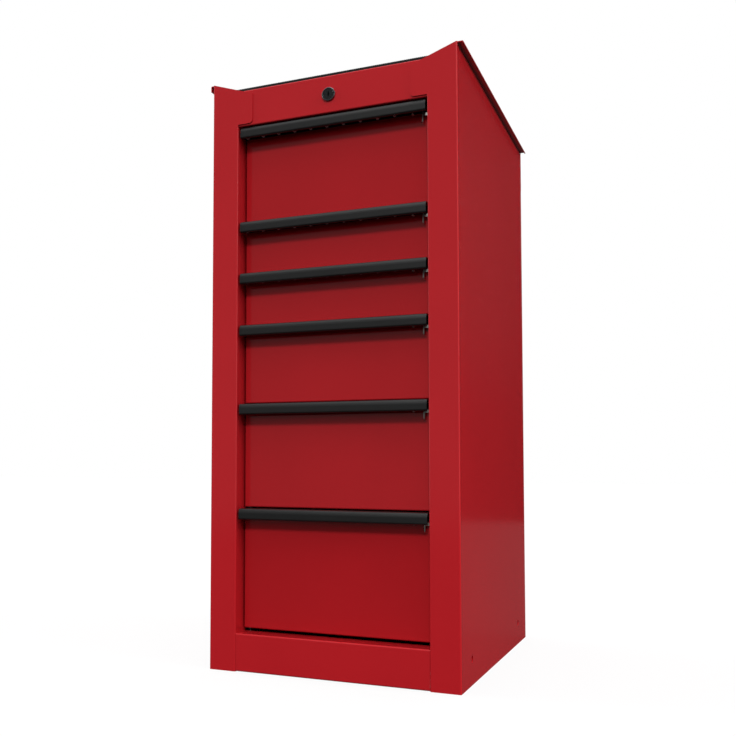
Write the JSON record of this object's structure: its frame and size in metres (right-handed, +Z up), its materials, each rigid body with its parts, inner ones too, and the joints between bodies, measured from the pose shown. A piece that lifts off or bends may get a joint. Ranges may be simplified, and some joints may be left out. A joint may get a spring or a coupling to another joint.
{
  "type": "side tool cabinet",
  "caption": "Tall narrow sheet-steel tool cabinet with full-width grip drawers on ball slides, a central cam lock, a matted top, and a hook and a lip to hang beside a larger cabinet.",
  "frame": {"origin": "on the floor, under the middle of the whole cabinet", "axes": "+X to the right seen from the front, +Y to the back, +Z up"},
  "size_m": [0.4097, 0.5628, 0.94],
  "materials": {
    "red_paint": "gloss powder coat",
    "drawer_paint": "gloss powder coat",
    "grip_plastic": "moulded black plastic",
    "mat_rubber": "ribbed",
    "liner_foam": "fine grain",
    "zinc_steel": "bright zinc plate",
    "lock_chrome": "polished",
    "plug_black": "black enamel",
    "rivet_aluminium": "satin"
  },
  "bodies": {
    "case": {"right_side_panel": "red_paint", "left_side_panel": "red_paint", "back_panel": "red_paint", "top_panel": "red_paint", "base_panel": "red_paint", "top_rail": "red_paint", "bottom_rail": "red_paint", "top_mat": "mat_rubber", "slide_uprights": "zinc_steel", "outer_slides": "zinc_steel", "case_rivets": "rivet_aluminium", "lock_housing": "lock_chrome", "lock_nut": "zinc_steel", "lock_bar_guides": "zinc_steel"},
    "lock_plug": {"lock_plug": "plug_black", "lock_spindle": "zinc_steel"},
    "lock_bar": {"lock_bar": "zinc_steel"},
    "drawer_1": {"drawer_front_1": "drawer_paint", "drawer_box_1": "drawer_paint", "drawer_liner_1": "liner_foam", "handle_1": "grip_plastic", "inner_slides_1": "zinc_steel"},
    "mid_1": {"mid_slides_1": "zinc_steel"},
    "catch_1": {"catch_1": "zinc_steel"},
    "drawer_2": {"drawer_front_2": "drawer_paint", "drawer_box_2": "drawer_paint", "drawer_liner_2": "liner_foam", "handle_2": "grip_plastic", "inner_slides_2": "zinc_steel"},
    "mid_2": {"mid_slides_2": "zinc_steel"},
    "catch_2": {"catch_2": "zinc_steel"},
    "drawer_3": {"drawer_front_3": "drawer_paint", "drawer_box_3": "drawer_paint", "drawer_liner_3": "liner_foam", "handle_3": "grip_plastic", "inner_slides_3": "zinc_steel"},
    "mid_3": {"mid_slides_3": "zinc_steel"},
    "catch_3": {"catch_3": "zinc_steel"},
    "drawer_4": {"drawer_front_4": "drawer_paint", "drawer_box_4": "drawer_paint", "drawer_liner_4": "liner_foam", "handle_4": "grip_plastic", "inner_slides_4": "zinc_steel"},
    "mid_4": {"mid_slides_4": "zinc_steel"},
    "catch_4": {"catch_4": "zinc_steel"},
    "drawer_5": {"drawer_front_5": "drawer_paint", "drawer_box_5": "drawer_paint", "drawer_liner_5": "liner_foam", "handle_5": "grip_plastic", "inner_slides_5": "zinc_steel"},
    "mid_5": {"mid_slides_5": "zinc_steel"},
    "catch_5": {"catch_5": "zinc_steel"},
    "drawer_6": {"drawer_front_6": "drawer_paint", "drawer_box_6": "drawer_paint", "drawer_liner_6": "liner_foam", "handle_6": "grip_plastic", "inner_slides_6": "zinc_steel"},
    "mid_6": {"mid_slides_6": "zinc_steel"},
    "catch_6": {"catch_6": "zinc_steel"}
  },
  "joints": [
    {"name": "drawer_1_slide", "type": "slide", "parent": "case", "child": "drawer_1", "axis": [0, -1, 0], "range_m": [0, 0.45]},
    {"name": "mid_1_slide", "type": "slide", "parent": "case", "child": "mid_1", "axis": [0, -1, 0], "range_m": [0, 0.225]},
    {"name": "catch_1_slide", "type": "slide", "parent": "drawer_1", "child": "catch_1", "axis": [1, 0, 0], "range_m": [0, 0.006]},
    {"name": "drawer_2_slide", "type": "slide", "parent": "case", "child": "drawer_2", "axis": [0, -1, 0], "range_m": [0, 0.45]},
    {"name": "mid_2_slide", "type": "slide", "parent": "case", "child": "mid_2", "axis": [0, -1, 0], "range_m": [0, 0.225]},
    {"name": "catch_2_slide", "type": "slide", "parent": "drawer_2", "child": "catch_2", "axis": [1, 0, 0], "range_m": [0, 0.006]},
    {"name": "drawer_3_slide", "type": "slide", "parent": "case", "child": "drawer_3", "axis": [0, -1, 0], "range_m": [0, 0.45]},
    {"name": "mid_3_slide", "type": "slide", "parent": "case", "child": "mid_3", "axis": [0, -1, 0], "range_m": [0, 0.225]},
    {"name": "catch_3_slide", "type": "slide", "parent": "drawer_3", "child": "catch_3", "axis": [1, 0, 0], "range_m": [0, 0.006]},
    {"name": "drawer_4_slide", "type": "slide", "parent": "case", "child": "drawer_4", "axis": [0, -1, 0], "range_m": [0, 0.45]},
    {"name": "mid_4_slide", "type": "slide", "parent": "case", "child": "mid_4", "axis": [0, -1, 0], "range_m": [0, 0.225]},
    {"name": "catch_4_slide", "type": "slide", "parent": "drawer_4", "child": "catch_4", "axis": [1, 0, 0], "range_m": [0, 0.006]},
    {"name": "drawer_5_slide", "type": "slide", "parent": "case", "child": "drawer_5", "axis": [0, -1, 0], "range_m": [0, 0.45]},
    {"name": "mid_5_slide", "type": "slide", "parent": "case", "child": "mid_5", "axis": [0, -1, 0], "range_m": [0, 0.225]},
    {"name": "catch_5_slide", "type": "slide", "parent": "drawer_5", "child": "catch_5", "axis": [1, 0, 0], "range_m": [0, 0.006]},
    {"name": "drawer_6_slide", "type": "slide", "parent": "case", "child": "drawer_6", "axis": [0, -1, 0], "range_m": [0, 0.45]},
    {"name": "mid_6_slide", "type": "slide", "parent": "case", "child": "mid_6", "axis": [0, -1, 0], "range_m": [0, 0.225]},
    {"name": "catch_6_slide", "type": "slide", "parent": "drawer_6", "child": "catch_6", "axis": [1, 0, 0], "range_m": [0, 0.006]},
    {"name": "lock_turn", "type": "hinge", "parent": "case", "child": "lock_plug", "pos_m": [0, -0.28, 0.893], "axis": [0, 1, 0], "range_deg": [0, 90]},
    {"name": "lock_bar_lift", "type": "slide", "parent": "case", "child": "lock_bar", "axis": [0, 0, 1], "range_m": [0, 0.0142]}
  ],
  "couplings": [
    {"joint": "mid_1_slide", "follows": "drawer_1_slide", "ratio": 0.5},
    {"joint": "mid_2_slide", "follows": "drawer_2_slide", "ratio": 0.5},
    {"joint": "mid_3_slide", "follows": "drawer_3_slide", "ratio": 0.5},
    {"joint": "mid_4_slide", "follows": "drawer_4_slide", "ratio": 0.5},
    {"joint": "mid_5_slide", "follows": "drawer_5_slide", "ratio": 0.5},
    {"joint": "mid_6_slide", "follows": "drawer_6_slide", "ratio": 0.5},
    {"joint": "lock_bar_lift", "follows": "lock_turn", "m_per_rad": 0.0090031}
  ]
}
